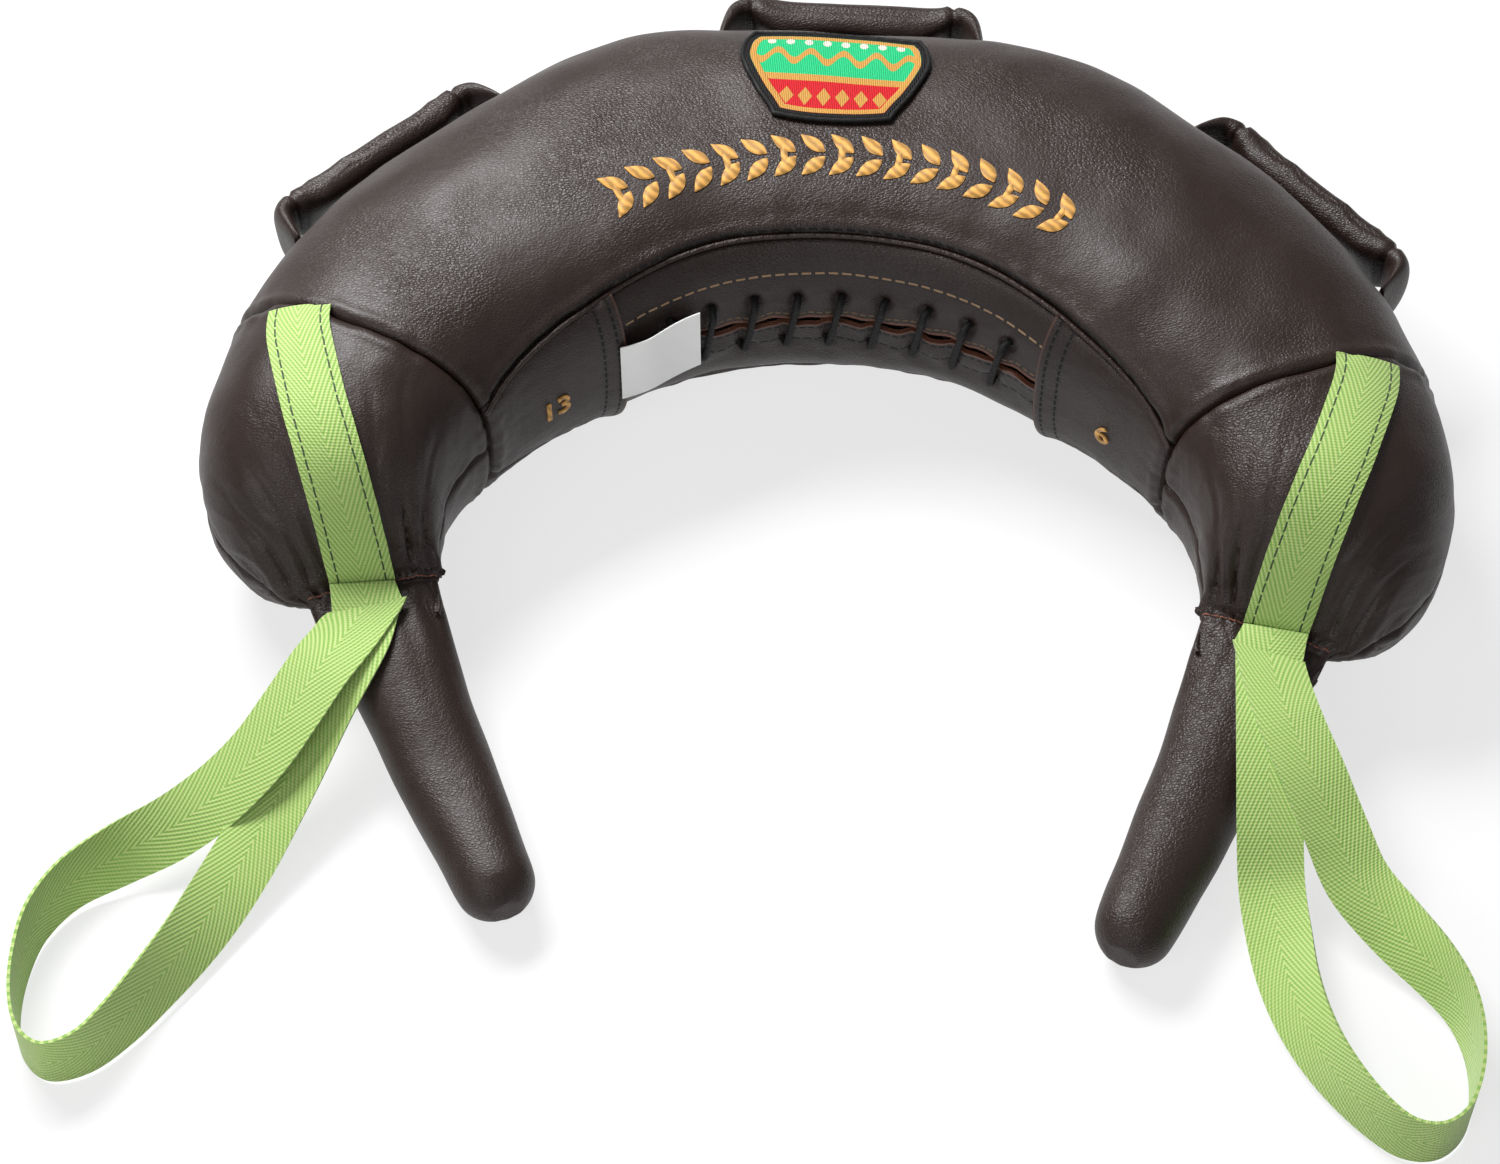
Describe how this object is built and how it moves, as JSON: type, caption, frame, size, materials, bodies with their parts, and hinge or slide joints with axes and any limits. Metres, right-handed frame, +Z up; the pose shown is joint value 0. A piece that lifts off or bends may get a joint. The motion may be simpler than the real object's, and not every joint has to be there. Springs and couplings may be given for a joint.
{
  "type": "bulgarian bag",
  "caption": "Horseshoe-shaped leather training bag with padded handles, thin tail grips and webbing hand loops, laced shut along its inner edge.",
  "frame": {"origin": "middle of the bounding box's bottom, on the floor that the bag lies on", "axes": "+Z up from the floor, +X to the viewer's right along the horseshoe's width, the arms and grips point to -Y"},
  "size_m": [0.6512, 0.597, 0.1342],
  "materials": {
    "leather": "dark brown pebbled leather, semi-gloss",
    "lace": "black woven lace",
    "webbing": "lime green herringbone webbing",
    "embroidery": "embroidered patch",
    "satin": "white satin label, bare",
    "wadding": "loose wool wadding",
    "sacking": "sand in woven sacking",
    "foam": "soft foam core"
  },
  "bodies": {
    "bag": {"front_panel": "leather", "back_panel": "leather", "left_end_front_panel": "leather", "right_end_front_panel": "leather", "left_end_back_panel": "leather", "right_end_back_panel": "leather", "left_gusset_flap": "leather", "right_gusset_flap": "leather", "upper_closure_lip": "leather", "lower_closure_lip": "leather", "closure_lace": "lace", "top_handle": "leather", "left_handle": "leather", "right_handle": "leather", "left_strap_sewn": "webbing", "right_strap_sewn": "webbing", "badge_patch": "embroidery", "care_label": "satin", "wadding_1": "wadding", "wadding_2": "wadding", "wadding_3": "wadding", "wadding_4": "wadding", "wadding_5": "wadding", "sand_sack_1": "sacking", "sand_sack_2": "sacking", "sand_sack_3": "sacking", "sand_sack_4": "sacking", "sand_sack_5": "sacking"},
    "left_tail": {"left_grip": "leather", "left_grip_stuffing": "foam"},
    "right_tail": {"right_grip": "leather", "right_grip_stuffing": "foam"},
    "left_loop": {"left_strap_loop": "webbing"},
    "right_loop": {"right_strap_loop": "webbing"}
  },
  "joints": [
    {"name": "left_grip_bend", "type": "hinge", "parent": "bag", "child": "left_tail", "pos_m": [-0.18419, -0.05987, 0.045], "axis": [-0.9528, -0.3037, 0], "range_deg": [-40, 40]},
    {"name": "right_grip_bend", "type": "hinge", "parent": "bag", "child": "right_tail", "pos_m": [0.2291, -0.05987, 0.045], "axis": [-0.9528, 0.3037, 0], "range_deg": [-40, 40]},
    {"name": "left_loop_swing", "type": "hinge", "parent": "left_tail", "child": "left_loop", "pos_m": [-0.1859, -0.06933, 0.0506], "axis": [-0.9528, -0.3037, 0], "range_deg": [0, 60]},
    {"name": "right_loop_swing", "type": "hinge", "parent": "right_tail", "child": "right_loop", "pos_m": [0.23081, -0.06933, 0.0506], "axis": [-0.9528, 0.3037, 0], "range_deg": [0, 60]}
  ]
}
